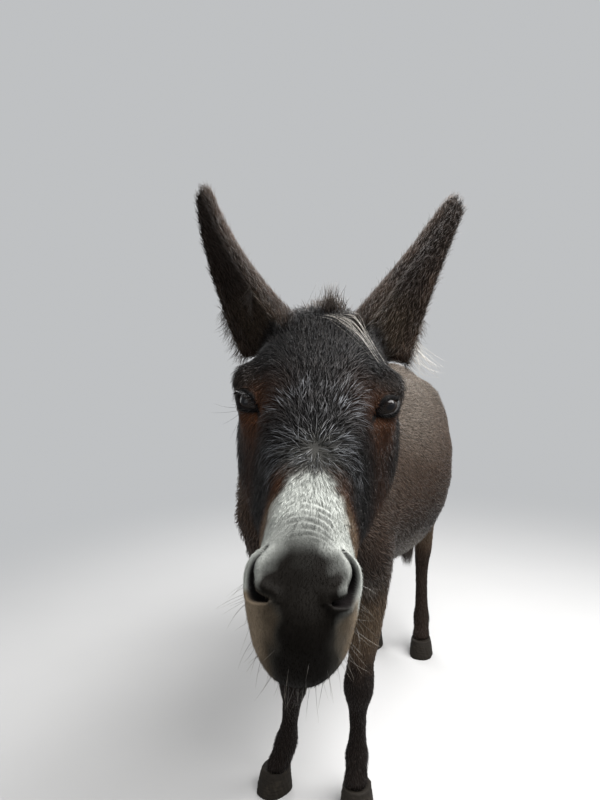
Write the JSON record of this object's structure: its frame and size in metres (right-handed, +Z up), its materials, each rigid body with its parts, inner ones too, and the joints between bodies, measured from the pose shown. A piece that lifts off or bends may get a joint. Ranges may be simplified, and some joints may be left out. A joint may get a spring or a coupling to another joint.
{
  "type": "donkey",
  "caption": "Life-size still model of a standing donkey with a dark coat and pale muzzle, head reached forward and turned slightly to its left.",
  "frame": {"origin": "centre of the bounding box's underside, on the floor between the hooves", "axes": "+Z up; -Y is forward, the way the trunk faces, and +Y is towards the tail; +X is the donkey's left"},
  "size_m": [0.6544, 1.8894, 1.377],
  "materials": {
    "coat": "thick winter coat, dark brown to black, pale on the nose and belly",
    "hair": "coarse dark hair of mane and tail",
    "eye": "wet, glossy, very dark brown",
    "hoof": "dark grey horn, satin, with fine growth rings"
  },
  "bodies": {
    "root": {"head": "coat", "neck": "coat", "trunk": "coat", "leg_front_left": "coat", "leg_front_right": "coat", "leg_hind_left": "coat", "leg_hind_right": "coat", "ear_left": "coat", "ear_right": "coat", "tail": "coat", "mane": "hair", "tail_tuft": "hair", "eye_left": "eye", "eye_right": "eye", "hoof_front_left": "hoof", "hoof_front_right": "hoof", "hoof_hind_left": "hoof", "hoof_hind_right": "hoof"}
  },
  "joints": []
}
